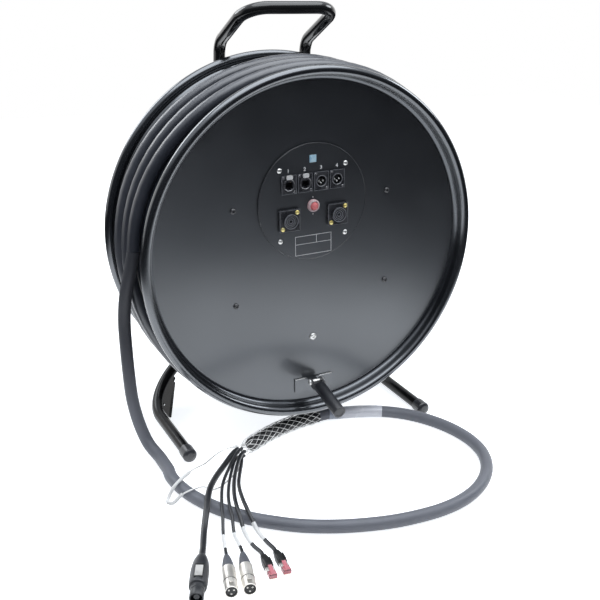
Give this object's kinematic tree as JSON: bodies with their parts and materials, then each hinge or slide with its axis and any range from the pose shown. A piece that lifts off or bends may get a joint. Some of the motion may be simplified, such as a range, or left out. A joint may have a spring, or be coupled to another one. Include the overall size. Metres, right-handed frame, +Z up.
{
  "type": "cable reel",
  "caption": "Cable reel on a tubular floor stand: drum with a folding crank, socket panel and wound stage cable that ends in a mesh grip and plugged tails.",
  "frame": {"origin": "on the floor, below the middle of the reel's box without its free cable", "axes": "+Z up, +Y towards the stand behind the drum, the socket panel faces -Y, the drum's axis lies along Y"},
  "size_m": [0.6402, 0.6026, 0.7042],
  "materials": {
    "textured_coat": "grained black powder coat",
    "gloss_coat": "gloss black",
    "cable_jacket": "matt dark grey",
    "moulded": "black moulding",
    "dark_steel": "black finished steel",
    "zinc": "bright zinc plate",
    "nickel": "satin nickel",
    "latch_plastic": "light grey",
    "bush_plastic": "self-coloured",
    "button": "red under a clear cap",
    "clear_clip": "clear pink-red"
  },
  "bodies": {
    "frame": {"handle_hoop": "gloss_coat", "left_leg": "gloss_coat", "right_leg": "gloss_coat", "left_gusset": "gloss_coat", "right_gusset": "gloss_coat", "left_foot_cap": "moulded", "right_foot_cap": "moulded", "cross_plate": "gloss_coat", "axle": "zinc", "axle_nut": "zinc", "cable_lead": "cable_jacket", "cable_floor_loop": "cable_jacket", "mesh_grip": "zinc", "grip_eye": "zinc", "power_tail": "cable_jacket", "signal_tail_1": "cable_jacket", "signal_tail_2": "cable_jacket", "data_tail_1": "cable_jacket", "data_tail_2": "cable_jacket", "power_plug": "moulded", "signal_plug_1": "nickel", "signal_plug_2": "nickel", "data_plug_1": "moulded", "data_plug_2": "moulded"},
    "drum": {"front_flange": "textured_coat", "rear_flange": "textured_coat", "drum_barrel": "textured_coat", "hub_housing": "textured_coat", "front_bush": "bush_plastic", "rear_bush": "bush_plastic", "tie_bolt_1": "dark_steel", "tie_bolt_2": "dark_steel", "tie_bolt_3": "dark_steel", "tie_bolt_4": "dark_steel", "tie_bolt_5": "zinc", "tie_bolt_6": "dark_steel", "cable_core": "cable_jacket", "cable_winding": "cable_jacket", "panel_plate": "textured_coat", "data_socket_1": "moulded", "data_socket_2": "moulded", "signal_socket_1": "moulded", "signal_socket_2": "moulded", "power_socket_left": "moulded", "power_socket_right": "moulded", "breaker_body": "moulded", "crank_bracket": "textured_coat", "crank_pivot_bolt": "zinc", "crank_spacer": "zinc", "cable_gland": "moulded"},
    "crank": {"crank_fork": "dark_steel"},
    "grip": {"crank_grip": "moulded"},
    "button": {"breaker_button": "button"},
    "tab_1": {"socket_tab_1": "zinc"},
    "tab_2": {"socket_tab_2": "zinc"},
    "power_latch": {"power_plug_latch": "latch_plastic"},
    "latch_1": {"signal_latch_1": "nickel"},
    "latch_2": {"signal_latch_2": "nickel"},
    "clip_1": {"data_clip_1": "clear_clip"},
    "clip_2": {"data_clip_2": "clear_clip"}
  },
  "joints": [
    {"name": "drum_spin", "type": "hinge", "parent": "frame", "child": "drum", "pos_m": [0, 0.02727, 0.3304], "axis": [0, 1, 0], "continuous": true, "deforming": ["cable_lead"]},
    {"name": "crank_fold", "type": "hinge", "parent": "drum", "child": "crank", "pos_m": [0.00688, -0.07463, 0.09938], "axis": [-0.999, 0, -0.0436], "range_deg": [0, 102.4]},
    {"name": "grip_spin", "type": "hinge", "parent": "crank", "child": "grip", "pos_m": [0.00688, -0.07463, 0.09938], "axis": [0.0094, -0.9767, -0.2145], "continuous": true},
    {"name": "button_press", "type": "slide", "parent": "drum", "child": "button", "axis": [0, 1, 0], "range_m": [0, 0.0025], "stiffness_N_per_m": 800, "springref_m": -0.0005},
    {"name": "tab_1_press", "type": "slide", "parent": "drum", "child": "tab_1", "axis": [0, 1, 0], "range_m": [0, 0.0015], "stiffness_N_per_m": 500, "springref_m": -0.0005},
    {"name": "tab_2_press", "type": "slide", "parent": "drum", "child": "tab_2", "axis": [0, 1, 0], "range_m": [0, 0.0015], "stiffness_N_per_m": 500, "springref_m": -0.0005},
    {"name": "power_latch_pull", "type": "slide", "parent": "frame", "child": "power_latch", "axis": [0.421, 0.907, 0], "range_m": [0, 0.003], "stiffness_N_per_m": 500, "springref_m": -0.0005},
    {"name": "latch_1_press", "type": "slide", "parent": "frame", "child": "latch_1", "axis": [0, 0, -1], "range_m": [0, 0.0012], "stiffness_N_per_m": 500, "springref_m": -0.0005},
    {"name": "latch_2_press", "type": "slide", "parent": "frame", "child": "latch_2", "axis": [0, 0, -1], "range_m": [0, 0.0012], "stiffness_N_per_m": 500, "springref_m": -0.0005},
    {"name": "clip_1_press", "type": "hinge", "parent": "frame", "child": "clip_1", "pos_m": [-0.22431, -0.41824, 0.0084], "axis": [-0.9925, 0.1219, 0], "range_deg": [0, 9], "stiffness_Nm_per_rad": 0.05, "springref_deg": -1.15},
    {"name": "clip_2_press", "type": "hinge", "parent": "frame", "child": "clip_2", "pos_m": [-0.20263, -0.41642, 0.0084], "axis": [-0.9962, 0.0872, 0], "range_deg": [0, 9], "stiffness_Nm_per_rad": 0.05, "springref_deg": -1.15}
  ]
}
